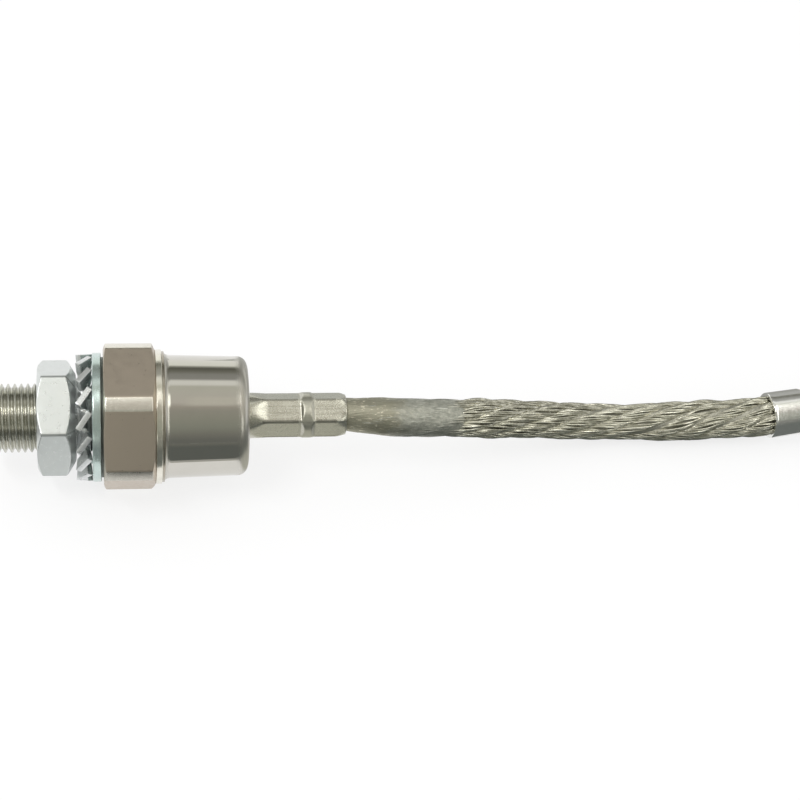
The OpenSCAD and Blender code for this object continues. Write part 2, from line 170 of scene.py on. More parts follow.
def arc(x, r, radius):
    """Corners on a quarter arc round (x, r), from straight out to straight ahead."""
    turn = np.radians(np.linspace(0, 90, ARC_POINTS))
    return [(x + radius * math.sin(t), r + radius * math.cos(t), 0) for t in turn]


def lathe(name, corners, cols=128):
    angles = np.linspace(0, 2 * math.pi, cols, endpoint=False)
    return add_rings(name, turned(rounded(corners, angles, loop=True), angles), loop=True)


def stations(*stretches):
    """Places along X, from stretches that are each a start, an end and a count."""
    return np.unique(np.concatenate([np.linspace(*stretch) for stretch in stretches]))


def ease(t):
    """Rises from 0 to 1 as t does, with a soft start and end."""
    t = np.clip(t, 0, 1)
    return t * t * (3 - 2 * t)


def soft_min(a, b, k):
    """The smaller of a and b, blended where they differ by less than k."""
    h = np.clip(0.5 + 0.5 * (b - a) / k, 0, 1)
    return b * (1 - h) + a * h - k * h * (1 - h)


def hex_angles(turn_deg, per_flat):
    """Angles round a hexagon, which lie closer together near its corners."""
    u = np.linspace(-1, 1, per_flat, endpoint=False)
    within = math.radians(30) * np.sin(u * math.pi / 2)
    return np.concatenate([within + math.radians(60 * k + turn_deg) for k in range(6)])


def hex_radius(angles, turn_deg, flat, limit, soft):
    """A hexagon's radius at the angles, with its corners cut off softly at the limit."""
    sixth = math.radians(60)
    aside = (angles - math.radians(turn_deg) + sixth / 2) % sixth - sixth / 2
    return soft_min(flat / np.cos(aside), limit, soft)


def choose(looks, **where):
    """Each face's index in looks: that of the first look here whose faces it is among, or 0."""
    return np.select(list(where.values()), [looks.index(look) for look in where], 0)


# Stud and base, which are one piece
BASE_LOOKS = ("base", "stud", "corner", "groove", "spring", "low_corner")
STUD_R, TIP_R, PITCH, THREAD_DEPTH = 8.0, 7.0, 1.5, 0.92
THREAD_FLAT = 0.1  # share of the pitch that is flat at the crest, and at the root
THREAD_END, RUN_OUT, THREAD_STEP, TIP_SOFT = 1.2, 1.5, 0.15, 0.12
THREAD_X = (STUD_TIP + 0.05, -0.9)  # stretch of the stud that has a row at each step
HEX_CORNER, HEX_SOFT, HEX_FACE_R, SEAT_CHAMFER, FACE_CHAMFER = 17.61, 0.04, 15.6, 0.5, 0.8
SEAT_R, SEAT_H, SPIGOT_R, PEDESTAL_R = 14.0, 0.5, 12.8, 11.05
CENTRE_R = 0.4  # radius of the last ring where an end is closed
TIP_FACE = (CENTRE_R, 6.6, 6.9)  # radii of the rings on the stud's end
SHELTERED_X = (-5.8, -0.3)  # stretch of the stud under the washers, which has the grey spring look as a painted reflection of the washers
CORNER_X, CORNER_DEPTH = (0.8, 11.9), 0.3  # stretch and depth of the hexagon's bright corners, which are lighter partly for their turned finish and partly as a painted highlight
FRONT_CORNER, CORNER_HALF = math.radians(270), 0.2  # the corner in front, which has a painted dark reflection


def thread_rows(angles):
    """Rows of the stud, whose thread is a true helix that runs out before the base."""
    x = np.arange(*THREAD_X, THREAD_STEP)[:, None]
    phase = (x / PITCH - angles / (2 * math.pi)) % 1
    flank = np.abs(2 * phase - 1)
    cut = ease((flank - THREAD_FLAT) / (1 - 2 * THREAD_FLAT))
    fade = np.clip((-x - THREAD_END) / RUN_OUT, 0, 1)
    r = STUD_R - THREAD_DEPTH * cut * fade
    r = soft_min(r, TIP_R + (x - STUD_TIP), TIP_SOFT)
    return np.stack(np.broadcast_arrays(x, r), -1)


def make_base():
    angles = hex_angles(0, 60)
    flat_r = hex_radius(angles, 0, HEX_FLAT, HEX_CORNER, HEX_SOFT)
    rise = (flat_r - HEX_FACE_R) / (HEX_CORNER - HEX_FACE_R)
    tip = profile_rows([(STUD_TIP, r) for r in TIP_FACE], angles)
    hexagon = rounded([
        (-0.6, STUD_R, 0), (0, STUD_R + 0.4, 0.3), (0, SEAT_R, 0.12), (SEAT_H, SEAT_R, 0.1),
        (SEAT_H, HEX_FACE_R, 0.2), (SEAT_H + SEAT_CHAMFER * rise, flat_r, 0.14),
        (RING_START - FACE_CHAMFER * rise, flat_r, 0.14), (RING_START, HEX_FACE_R, 0.2),
        (RING_START, SPIGOT_R, 0.1), (RING_END, SPIGOT_R, 0.1), (RING_END, PEDESTAL_R, 0.1),
        (BASE_END, PEDESTAL_R, 0.2), (BASE_END, CENTRE_R, 0)], angles)
    rows = np.concatenate([tip, thread_rows(angles), hexagon])
    middle = (rows[:-1] + rows[1:]) / 2
    x, r = middle[..., 0], middle[..., 1]
    # The boss in the gap between the flat washer and the hexagon gets a dark look: painted shade
    boss = (x > 0.02) & (x < SEAT_H + 0.02) & (r < HEX_FACE_R - 0.3)
    corner = (flat_r > HEX_CORNER - HEX_SOFT / 2) & (r > HEX_CORNER - CORNER_DEPTH)
    corner = corner & (x > CORNER_X[0]) & (x < CORNER_X[1])
    low_corner = corner & (np.abs(angles - FRONT_CORNER) < CORNER_HALF)
    # Under the washers the stud takes the spring look: a painted reflection of the washers' greys
    stud = x < SHELTERED_X[1]
    index = choose(BASE_LOOKS, groove=boss, low_corner=low_corner, corner=corner,
                   spring=stud & (x > SHELTERED_X[0]), stud=stud)
    return add_rings("base_body", turned(rows, angles), index=index)


# Nut
NUT_LOOKS = ("zinc", "zinc_edge")
NUT_TURN, NUT_H, NUT_FLAT, NUT_CORNER, NUT_SOFT = -33.8, 8.75, 12.0, 13.74, 0.12
NUT_FACE_R, NUT_SEAT_R, NUT_SLOPE = 11.9, 10.0, math.tan(math.radians(30))
NUT_BORE_R, NUT_BORE_CHAMFER = 8.05, 0.25
NUT_EDGE = 0.05  # how much less than the corner's radius still counts as its edge


def make_nut():
    angles = hex_angles(NUT_TURN, 40)
    flat_r = hex_radius(angles, NUT_TURN, NUT_FLAT, NUT_CORNER, NUT_SOFT)
    low, mouth_r = NUT_TOP - NUT_H, NUT_BORE_R + NUT_BORE_CHAMFER
    rows = rounded([
        (low, mouth_r, 0.1), (low, NUT_FACE_R, 0.15),
        (low + (flat_r - NUT_FACE_R) * NUT_SLOPE, flat_r, 0.2),
        (NUT_TOP - (flat_r - NUT_SEAT_R) * NUT_SLOPE, flat_r, 0.2),
        (NUT_TOP, NUT_SEAT_R, 0.3), (NUT_TOP, mouth_r, 0.1),
        (NUT_TOP - NUT_BORE_CHAMFER, NUT_BORE_R, 0.1),
        (low + NUT_BORE_CHAMFER, NUT_BORE_R, 0.1)], angles, loop=True)
    # The nut's corner edges get a dark look: a painted dark reflection
    edge = (flat_r > NUT_CORNER - NUT_EDGE) & (rows[..., 1] > NUT_FACE_R + 0.2)
    return add_rings("nut_body", turned(rows, angles), True, choose(NUT_LOOKS, zinc_edge=edge))


# Lock washer
LOCK_TEETH, LOCK_T, LOCK_TURN, LOCK_TWIST = 16, 1.3, 20.5, -math.radians(34)
LOCK_BORE_R, LOCK_RING_R, LOCK_TIP_R = 8.5, 11.2, 14.6
ROOT_HALF, TIP_WIDENING = 1.8, 0.6  # half a tooth's width at its root, and what its tip has more
TWIST_START, TWIST_L = LOCK_RING_R - 0.9, 1.6
RING_ROWS, TOOTH_ROWS, TOOTH_COLS, GAP_COLS = 5, 10, 10, 4
STEP_COLS = TOOTH_COLS + GAP_COLS
LOCK_COLS = LOCK_TEETH * STEP_COLS
LOCK_X = (NUT_TOP + WASHER_START) / 2
LOCK_EDGE_R = 0.16


def twisted(r, off, side):
    """A point of a twisted tooth: its x, and its distance from the tooth's middle line."""
    bend = ease((r - TWIST_START) / TWIST_L) * LOCK_TWIST
    across, out = off * r, side * LOCK_T / 2
    return (across * math.sin(bend) + out * math.cos(bend),
            across * math.cos(bend) - out * math.sin(bend))


def lock_points():
    """The washer's points, and the number of each by its row, column and side. The rows go from
    the bore to the teeth's tips; each tooth has the first columns of a step, its gap the rest."""
    step = 2 * math.pi / LOCK_TEETH
    radii = np.concatenate([
        np.linspace(LOCK_BORE_R, LOCK_RING_R, RING_ROWS),
        np.linspace(LOCK_RING_R, LOCK_TIP_R, TOOTH_ROWS + 1)[1:]])
    verts, numbers = [], {}
    for i, r in enumerate(radii):
        wider = np.clip((r - LOCK_RING_R) / (LOCK_TIP_R - LOCK_RING_R), 0, 1)
        half = (ROOT_HALF + TIP_WIDENING * wider) / r
        for c in range(LOCK_COLS):
            tooth, m = divmod(c, STEP_COLS)
            in_tooth = m <= TOOTH_COLS
            if i >= RING_ROWS and not in_tooth:
                continue
            off = (2 * m / TOOTH_COLS - 1) * half
            if not in_tooth:
                off = half + (m - TOOTH_COLS) * (step - 2 * half) / GAP_COLS
            middle = tooth * step + math.radians(LOCK_TURN)
            for side in (-1, 1):
                x, angle, radius = side * LOCK_T / 2, middle + off, r
                twisted_x, across = twisted(r, off, side)
                if in_tooth and i >= RING_ROWS - 1:
                    x = twisted_x
                if i >= RING_ROWS:
                    angle, radius = middle + math.atan2(across, r), math.hypot(r, across)
                numbers[i, c, side] = len(verts)
                verts.append((LOCK_X + x, radius * math.sin(angle), -radius * math.cos(angle)))
    return verts, numbers


def lock_faces(numbers):
    root, tip = RING_ROWS - 1, RING_ROWS + TOOTH_ROWS - 1
    faces = []

    def quad(*keys):
        faces.append([numbers[key] for key in keys])

    def wall(i, c, j, d):
        quad((i, c, -1), (j, d, -1), (j, d, 1), (i, c, 1))

    for i in range(tip):
        for c in range(LOCK_COLS):
            d = (c + 1) % LOCK_COLS
            if i >= root and c % STEP_COLS >= TOOTH_COLS:
                continue
            for side in (-1, 1):
                quad((i, c, side), (i, d, side), (i + 1, d, side), (i + 1, c, side))
    for c in range(LOCK_COLS):
        d = (c + 1) % LOCK_COLS
        edge = root if c % STEP_COLS >= TOOTH_COLS else tip
        wall(0, c, 0, d)
        wall(edge, c, edge, d)
    for tooth in range(LOCK_TEETH):
        for m in (0, TOOTH_COLS):
            c = tooth * STEP_COLS + m
            for i in range(root, tip):
                wall(i, c, i + 1, c)
    return faces


def make_lock_washer():
    verts, numbers = lock_points()
    piece = add_mesh("lock_body", verts, lock_faces(numbers))
    bevel = piece.modifiers.new("edge", "BEVEL")
    bevel.width, bevel.segments, bevel.limit_method = LOCK_EDGE_R * MM, 2, "ANGLE"
    bevel.angle_limit = math.radians(50)
    return piece


# Flat washer, welding ring and can
CAN_LOOKS = ("can", "flange")
WASHER_BORE_R, RING_BORE_R = 8.5, 12.85
CAN_R, CAN_TOP_R, CAN_EDGE_R, CAN_WALL, FLANGE_T = 14.40, 11.58, 2.4, 1.2, 0.6
CAN_BORE_R, CAN_BORE_END, CAN_INNER_R = 13.2, 16.3, 12.8
CAN_FOOT = [(14.55, 14.85, 0.2), (14.9, 14.56, 0.3), (15.6, CAN_R, 0.5)]
EYE_R, EYE_WALL, EYE_DEPTH = 9.5, 1.0, 4.3
FLANGE_END = CAN_START + FLANGE_T + 0.02  # faces whose centre lies before it get the flange's darker look, which is painted shade


def make_flat_washer():
    return lathe("washer_body", [
        (WASHER_START, WASHER_BORE_R, 0.2), (WASHER_START, WASHER_R, 0.35),
        (WASHER_END, WASHER_R, 0.25), (WASHER_END, WASHER_BORE_R, 0.2)])


def make_ring():
    return lathe("ring_body", [
        (RING_START, RING_BORE_R, 0.1), (RING_START, RING_R, 0.2),
        (RING_END, RING_R, 0.2), (RING_END, RING_BORE_R, 0.1)])


def make_can():
    """The can, with a flared foot on its flange and an eye turned inwards at its end."""
    eye_x, inner_x = CAN_END - EYE_DEPTH, CAN_END - CAN_WALL
    piece = lathe("can_body", [
        (CAN_START, CAN_BORE_R, 0.05), (CAN_START, FLANGE_R, 0.1),
        (CAN_START + FLANGE_T, FLANGE_R, 0.12), *CAN_FOOT,
        *arc(CAN_END - CAN_EDGE_R, CAN_TOP_R, CAN_EDGE_R),
        (CAN_END, EYE_R, 0.2), (eye_x, EYE_R, 0.1), (eye_x, EYE_R + EYE_WALL, 0.1),
        (inner_x, EYE_R + EYE_WALL, 0.2), (inner_x, CAN_INNER_R, 0.4),
        (CAN_BORE_END, CAN_BORE_R, 0.4)], 160)
    for face in piece.data.polygons:
        if face.center.x < FLANGE_END * MM:
            face.material_index = CAN_LOOKS.index("flange")
    return piece


# Crimped tube; a crimp is its start and end and how long its ramp is at each
TUBE_LOOKS = ("tube", "tube_edge", "tube_ridge")
CRIMPS, CRIMP_DEPTH, CRIMP_TURN = [(34.75, 46.95, 6.8, 1.3), (48.7, 57.2, 1.3, 0.9)], 0.7, -33.4
PRESS_SOFT, CRIMP_SOFT = 0.02, 0.28
TUBE_PER_FLAT, TUBE_BORE_R, BELL_X, BELL_R, BELL_LIP = 24, 3.75, 54.3, 4.75, 0.15
BELL_FIRST = math.radians(300)  # the angle at which the mouth draws in first, low in front
# Rows outside, as stretches, and then x and radius of those over the lip and inside
TUBE_STRETCHES = [(TUBE_START + 0.3, 33, 6), (33, 39, 34), (39, 45.5, 9), (45.5, 50.3, 34),
                  (50.3, BELL_X, 12)]
TUBE_LIP = [(TUBE_END - 0.04, 4.68), (TUBE_END, 4.5), (TUBE_END, 4.3), (TUBE_END - 0.05, 4.15)]
TUBE_INSIDE = [
    (54.9, 3.8), (54.7, TUBE_BORE_R), (35, TUBE_BORE_R), (TUBE_START + 0.1, TUBE_BORE_R),
    (TUBE_START, 3.85), (TUBE_START, 5.2), (TUBE_START + 0.1, 5.33),
]
# The hexagon's dark edges, a painted dark reflection: columns beside each, the flat that has one more,
# radius and stretches
EDGE_COLS, WIDER_FLAT, EDGE_R, EDGE_STRETCHES = 4, 5, 4.9, ((37, 46.2), (49.3, 54.5))
RIDGE_X = (45.5, 49.6)


def press(x, start, end, lead, ramp, depth):
    """How far a crimp's flats stand from the round tube at x: -depth inside it, depth outside."""
    into = 2 * np.clip((x - start) / lead, -1, 1)
    out = 2 * np.clip((end - x) / ramp, -1, 1)
    amount = np.minimum(into, out)
    amount = 0.5 * (np.sqrt((amount + 1) ** 2 + PRESS_SOFT) - np.sqrt((amount - 1) ** 2 + PRESS_SOFT))
    return -depth * np.clip(amount, -1, 1)


def pressed_radius(x, angles, turn_deg, tube_r, crimps, depth, soft):
    """The radius at x of a round tube with hexagonal crimps."""
    flat = tube_r + depth
    for crimp in crimps:
        flat = np.minimum(flat, tube_r + press(x, *crimp, depth))
    return hex_radius(angles, turn_deg, flat, tube_r, soft)


def bell_rows(last, angles):
    """The tube's mouth, which draws in to the rope, first low in front and last across from it."""
    front = np.clip(0.5 + 0.5 * np.cos(angles - BELL_FIRST), 0, 1)
    rows = []
    for t in np.linspace(0.08, 1, 14):
        early = t**1.6 * front
        late = np.clip((t - 0.55) / 0.45, 0, 1) ** 1.8 * (1 - front)
        r = last - (last - BELL_R) * np.clip(early + late, 0, 1)
        rows.append((BELL_X + (TUBE_END - BELL_LIP - BELL_X) * t, r))
    return rows


def make_tube():
    angles = hex_angles(CRIMP_TURN, TUBE_PER_FLAT)
    x = stations(*TUBE_STRETCHES)[:, None]
    r = pressed_radius(x, angles, CRIMP_TURN, TUBE_R, CRIMPS, CRIMP_DEPTH, CRIMP_SOFT)
    outside = np.stack(np.broadcast_arrays(x, r), -1)
    rest = profile_rows(bell_rows(r[-1], angles) + TUBE_LIP + TUBE_INSIDE, angles)
    rows = np.concatenate([outside, rest])
    x, r = rows[..., 0], rows[..., 1]
    flat, place = np.divmod(np.arange(len(angles)), TUBE_PER_FLAT)
    edge = (place < EDGE_COLS) | (place >= TUBE_PER_FLAT - EDGE_COLS)
    edge = edge | (flat == WIDER_FLAT) & (place == EDGE_COLS)
    pressed = [(x > start) & (x < end) for start, end in EDGE_STRETCHES]
    edge = edge & (r > EDGE_R) & (pressed[0] | pressed[1])
    ridge = (x > RIDGE_X[0]) & (x < RIDGE_X[1])
    index = choose(TUBE_LOOKS, tube_ridge=ridge, tube_edge=edge)
    return add_rings("tube_body", turned(rows, angles), True, index)


# Rope: the route's points 4 and 20 are the tube's mouth and the lug's
ROUTE = [
    (37, 0, 0), (43, 0, 0), (49, 0, 0), (54.8, 0, 0), (57, 0, 0), (62, -0.3, -0.1),
    (67, -0.5, -0.4), (73, -0.4, -1), (80, 0.2, -1.9), (87, 1.3, -3.4), (94, 2.5, -5.2),
    (101, 3.7, -6.9), (108, 4.6, -8.5), (115, 5.2, -9.8), (122, 5.7, -10.7), (129, 5.8, -11.1),
    (136, 5.9, -11.2), (143, 6, -11.2), (150, 6.3, -10.9), (157, 6.3, -10.9), (164, 6.6, -10.3),
    (171, 7.65, -10.3), (178, 8.7, -10.3),
]
ROUTE_PARTS, ROUTE_STEP = 40, 1.0
ROPE_LOOKS = ("wire", "core", "solder")
ROPE_SEED = 11
BUNDLES, WIRES, LAY, WIRE_LAY, WIRE_R, WIRE_SIDES = 7, 16, -60.0, 21.0, 0.31, 5
WIRE_SPREAD = (0.9, 1.06)  # how thin and how thick a wire can be, as a share of WIRE_R
BUNDLE_TALL, BUNDLE_BROAD, CORE_SHARE, CORE_SIDES = 1.30, 1.75, 0.84, 16
# What is irregular in the rope: about how long its waves are, and how large
WOBBLES = {
    "turn": ((34, 55), 0.12), "squeeze": ((18, 31), 0.07), "swell": ((14, 26), 0.10),
    "spin": ((16, 27), 0.22), "lift": ((5, 9, 15, 23), 0.08),
}
# Tables of what changes along X: the rope's radius, how freely its wires lie, and how much solder
# fills it, from 1 where it is smooth to 0 where it ends
ROPE_RADIUS = [
    (37, 3.64), (54.8, 3.64), (57, 3.95), (61, 4.2), (66, 4.6), (71, 4.65), (80, 4.6), (85, 4.55),
    (90, 4.95), (96, 4.7), (101, 4.6), (111, 4.65), (122, 4.45), (127, 4.35), (132, 4.6),
    (142, 5.0), (147, 5.0), (152, 4.75), (157, 4.93), (160, 5.05), (163.6, 4.95), (165.2, 4.42),
    (179, 4.38),
]
FREEDOM = [(58, 0.15), (70, 0.4), (86, 1.0)]
SOLDER = [(66, 1.0), (70, 0.92), (80, 0.8), (83, 0.5), (86, 0.0)]
SKIN_START, SKIN_THIN, SKIN_END, SKIN_SIDES = 55.8, 84, 87, 72
SKIN_SINK, SKIN_DIPS, SKIN_LUMPS, SKIN_SLOPE = 0.42, 0.05, 0.06, 0.45
# Waves in the solder: how often round the rope, how fast along it, and where they start
SKIN_WAVES = [(3, 1.1, 0.3), (5, -1.7, 1.9), (11, 2.6, 4.0), (17, -3.1, 2.2)]


def along(x, table):
    return np.interp(x, *zip(*table))


def sideways(line):
    """Unit vectors to the side and up at each point of a line."""
    ahead = np.gradient(line, axis=0)
    ahead /= np.linalg.norm(ahead, axis=1, keepdims=True)
    side = np.cross([0, 0, 1], ahead)
    side /= np.linalg.norm(side, axis=1, keepdims=True)
    return side, np.cross(ahead, side)


def smooth_route():
    """A smooth curve through the route's points: lengths along it at even steps, and its points."""
    p = np.array([ROUTE[0]] + ROUTE + [ROUTE[-1]], float)
    p[0] = 2 * p[1] - p[2]
    p[-1] = 2 * p[-2] - p[-3]
    fine = []
    for k in range(1, len(p) - 2):
        a, b, c, d = p[k - 1:k + 3]
        for t in np.linspace(0, 1, ROUTE_PARTS, endpoint=False):
            fine.append(0.5 * (2 * b + (c - a) * t + (2 * a - 5 * b + 4 * c - d) * t * t
                               + (3 * b - a - 3 * c + d) * t**3))
    fine.append(p[-2])
    fine = np.array(fine)
    length = np.concatenate([[0], np.cumsum(np.linalg.norm(np.diff(fine, axis=0), axis=1))])
    s = np.linspace(0, length[-1], int(length[-1] / ROUTE_STEP) + 1)
    return s, np.stack([np.interp(s, length, fine[:, i]) for i in range(3)], -1)


def wobble(s, rng, kind):
    """An irregular wave along s, made of waves of about the lengths that WOBBLES gives."""
    lengths, size = WOBBLES[kind]
    out = np.zeros_like(s)
    for length in lengths:
        out += np.sin(2 * math.pi * s / (length * rng.uniform(0.8, 1.25)) + rng.uniform(0, 6.28))
    return out * size / len(lengths)


def ring_points(line, side, up, radius):
    """Rings round a line; radius has a row for each of its points and a column for each side."""
    a = np.linspace(0, 2 * math.pi, radius.shape[1], endpoint=False)[None, :, None]
    return line[:, None] + radius[..., None] * (np.cos(a) * side[:, None] + np.sin(a) * up[:, None])


def tube_points(line, radius, sides):
    """Twist-free rings round a line, whose radius is one number or has one for each point."""
    radius = np.broadcast_to(np.reshape(radius, (-1, 1)), (len(line), sides))
    return ring_points(line, *sideways(line), radius)


def skin_radius(x, bulk, turn):
    """The solder that has crept along the wires: it dips between the bundles and is lumpy."""
    a = np.linspace(0, 2 * math.pi, SKIN_SIDES, endpoint=False)[None, :]
    x, bulk, turn = x[:, None], bulk[:, None], turn[:, None]
    dips = np.cos(BUNDLES * (a - turn)) - 1
    lumps = sum(np.sin(k * a + x * f + p) for k, f, p in SKIN_WAVES) / len(SKIN_WAVES)
    r = bulk - 0.02 - (1 - along(x, SOLDER)) * SKIN_SINK + SKIN_DIPS * dips + SKIN_LUMPS * lumps
    return np.where(x > SKIN_THIN, r - (x - SKIN_THIN) * SKIN_SLOPE, r)


def stand_for(piece, node):
    """The piece rides on the one body and replaces the CAD node."""
    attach(piece, "root")
    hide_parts(node)


def make_rope():
    rng = np.random.default_rng(ROPE_SEED)
    s, centre = smooth_route()
    side, up = sideways(centre)
    x = centre[:, 0]
    bulk, calm = along(x, ROPE_RADIUS), along(x, FREEDOM)
    verts, faces, index = [], [], []

    def add(rings, look):
        shell = grid_faces(*rings.shape[:2], start=sum(len(points) for points in verts))
        verts.append(rings.reshape(-1, 3))
        faces.extend(shell)
        index.extend([ROPE_LOOKS.index(look)] * len(shell))

    add(tube_points(centre, bulk * CORE_SHARE, CORE_SIDES), "core")
    turns = [2 * math.pi * (b / BUNDLES + s / LAY) + wobble(s, rng, "turn") * calm
             for b in range(BUNDLES)]
    for turn in turns:
        squeeze = 1 + wobble(s, rng, "squeeze") * calm
        tall, broad = BUNDLE_TALL * squeeze, BUNDLE_BROAD / squeeze
        middle = bulk - tall + wobble(s, rng, "swell") * calm
        ca, sa = np.cos(turn), np.sin(turn)
        for w in range(WIRES):
            spin = 2 * math.pi * (w / WIRES + s / WIRE_LAY) + wobble(s, rng, "spin")
            lift = wobble(s, rng, "lift") * calm
            out = middle + (tall - WIRE_R + lift) * np.cos(spin)
            over = (broad - WIRE_R + lift) * np.sin(spin)
            line = (centre + side * (out * ca - over * sa)[:, None]
                    + up * (out * sa + over * ca)[:, None])
            add(tube_points(line, WIRE_R * rng.uniform(*WIRE_SPREAD), WIRE_SIDES), "wire")
    wet = (x > SKIN_START) & (x < SKIN_END)
    skin = skin_radius(x[wet], bulk[wet], turns[0][wet])
    add(ring_points(centre[wet], side[wet], up[wet], skin), "solder")
    verts = np.concatenate(verts)
    verts[:, 2] = np.maximum(verts[:, 2], REST_Z)
    piece = add_mesh("rope", verts, faces, index)
    stand_for(piece, "lead_cable")
    return piece


# Lug, in a frame of its own: the barrel's mouth is at the origin and its axis along x
LUG_R, BARREL_BORE_R, BARREL_DEPTH, NECK_X, NECK_L, NECK_ROWS = 5.7, 4.5, 16, 17, 8, 15
LUG_CRIMP, LUG_CRIMP_DEPTH, LUG_CRIMP_SOFT, LUG_COLS = (8.5, 15.5, 0.5, 0.5), 0.7, 0.12, 72
PALM_HALF_W, PALM_HALF_T, PALM_Z, HOLE_X, HOLE_SIDES = 8.8, 1.3, -4.4, 35, 64
PALM_POWER = 8  # how square the palm's section is; 2 is round
# The hole's cutter: heights over the palm's middle, and its radius there
HOLE_SECTION = [(-2, 4.9), (-1.1, 4.2), (1.1, 4.2), (2, 4.9)]
# Rows of x and radius up the bore and over the mouth, rows of the barrel as stretches, rows of the
# palm along x, and the angles of those at its round end as a start, an end and a count
LUG_MOUTH = [
    (BARREL_DEPTH, CENTRE_R), (BARREL_DEPTH, 4.3), (15.9, 4.45), (15.7, BARREL_BORE_R),
    (8, BARREL_BORE_R), (0.5, BARREL_BORE_R), (0.2, 4.53), (0.05, 4.65), (0, 4.85), (0, 5.4),
    (0.05, 5.55), (0.2, 5.66), (0.45, LUG_R),
]
BARREL_STRETCHES = [(1, 7.5, 6), (7.5, 16.5, 46)]
PALM_ROWS, PALM_TURN = (26, 28, 30, 32, 33.5, HOLE_X), (4, 88, 20)


def at_lug(points):
    """Points of the lug's frame, moved to the rope's end and turned the way the rope goes."""
    start, ahead = np.array(ROUTE[20], float), np.subtract(ROUTE[-1], ROUTE[20])
    yaw = math.atan2(ahead[1], ahead[0])
    x, y, z = np.moveaxis(np.asarray(points, float), -1, 0)
    return start + np.stack([x * math.cos(yaw) - y * math.sin(yaw),
                             x * math.sin(yaw) + y * math.cos(yaw), z], -1)


def lug_rings():
    """Rings up the bore, over the mouth, along the crimped barrel and neck, and round the palm."""
    a = np.linspace(0, 2 * math.pi, LUG_COLS, endpoint=False)
    c, s = np.cos(a), np.sin(a)
    rings = []

    def circle(x, r):
        rings.append(np.stack([x + 0 * a, r * c, r * s], -1))

    def flat(x, half_w, half_t, z, power):
        y = half_w * np.sign(c) * np.abs(c) ** (2 / power)
        rings.append(np.stack([x + 0 * a, y, z + half_t * np.sign(s) * np.abs(s) ** (2 / power)], -1))

    for x, r in LUG_MOUTH:
        circle(x, r)
    for x in stations(*BARREL_STRETCHES):
        circle(x, pressed_radius(x, a, 90, LUG_R, [LUG_CRIMP], LUG_CRIMP_DEPTH, LUG_CRIMP_SOFT))
    for t in np.linspace(0, 1, NECK_ROWS):
        k = ease(t)
        flat(NECK_X + NECK_L * t, LUG_R + (PALM_HALF_W - LUG_R) * k,
             LUG_R + (PALM_HALF_T - LUG_R) * k, PALM_Z * k, 2 + (PALM_POWER - 2) * k)
    for x in PALM_ROWS:
        flat(x, PALM_HALF_W, PALM_HALF_T, PALM_Z, PALM_POWER)
    for t in np.linspace(*PALM_TURN):
        end, half_w = PALM_HALF_W * math.sin(math.radians(t)), PALM_HALF_W * math.cos(math.radians(t))
        flat(HOLE_X + end, half_w, PALM_HALF_T, PALM_Z, PALM_POWER - 4 * t / 90)
    return np.array(rings)


def cut_hole(piece):
    x, y, z = at_lug((HOLE_X, 0, PALM_Z))
    a = np.linspace(0, 2 * math.pi, HOLE_SIDES, endpoint=False)
    rings = [np.stack([x + r * np.cos(a), y + r * np.sin(a), z + h + 0 * a], -1)
             for h, r in HOLE_SECTION]
    cutter = add_rings("hole_cutter", np.array(rings))
    cut = piece.modifiers.new("hole", "BOOLEAN")
    cut.operation, cut.object, cut.solver = "DIFFERENCE", cutter, "EXACT"
    done = bpy.data.meshes.new_from_object(piece.evaluated_get(bpy.context.evaluated_depsgraph_get()))
    piece.modifiers.clear()
    piece.data = done
    bpy.data.objects.remove(cutter)


def make_lug():
    piece = add_rings("lug_body", at_lug(lug_rings()))
    cut_hole(piece)
    stand_for(piece, "terminal_lug")
    return piece


lug = make_lug()
rope = make_rope()

# Other outer pieces: the CAD node, the slot and the names of the looks
PIECES = [
    (make_base(), "stud_base", "nickel_plate", BASE_LOOKS),
    (make_nut(), "hex_nut", "zinc_plate", NUT_LOOKS),
    (make_lock_washer(), "lock_washer", "spring_steel", ("spring",)),
    (make_flat_washer(), "flat_washer", "washer_zinc", ("washer",)),
    (make_ring(), "weld_ring", "ring_steel", ("ring",)),
    (make_can(), "cap", "can_nickel", CAN_LOOKS),
    (make_tube(), "crimp_tube", "tube_nickel", TUBE_LOOKS),
]
for piece, node, slot, _ in PIECES:
    stand_for(piece, node)


